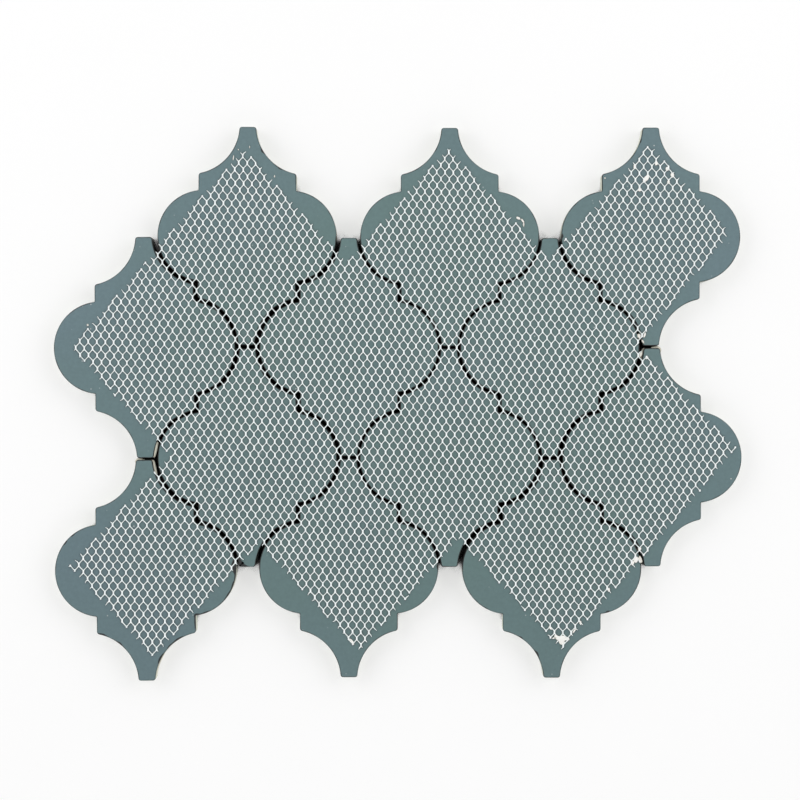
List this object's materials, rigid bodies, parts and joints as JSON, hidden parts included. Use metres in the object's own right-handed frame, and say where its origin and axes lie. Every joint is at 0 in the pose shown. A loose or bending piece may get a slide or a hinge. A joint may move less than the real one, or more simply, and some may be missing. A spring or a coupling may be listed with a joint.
{
  "type": "mesh-mounted arabesque mosaic tile sheet",
  "caption": "Interlocking lantern-shaped glass mosaic tiles held face down by a hexagonal backing net glued across their painted backs, as a sheet for walls.",
  "frame": {"origin": "under the middle of the sheet, in the plane of the glass faces", "axes": "+X along the rows of tiles, +Y across the rows towards row 1, +Z out of the painted backs and the net"},
  "size_m": [0.3216, 0.2584, 0.0085],
  "materials": {
    "tile_glass": "grey-green paint on the back of glass, semi-matt",
    "backing_net": "white coated fibre net, matt"
  },
  "bodies": {
    "root": {"tile_row1_left": "tile_glass", "tile_row1_middle": "tile_glass", "tile_row1_right": "tile_glass", "tile_row2_left": "tile_glass", "tile_row2_middle": "tile_glass", "tile_row2_right": "tile_glass", "tile_row3_left": "tile_glass", "tile_row3_middle": "tile_glass", "tile_row3_right": "tile_glass", "tile_row4_left": "tile_glass", "tile_row4_middle": "tile_glass", "tile_row4_right": "tile_glass", "net_falling_strands": "backing_net", "net_rising_strands": "backing_net"}
  },
  "joints": []
}
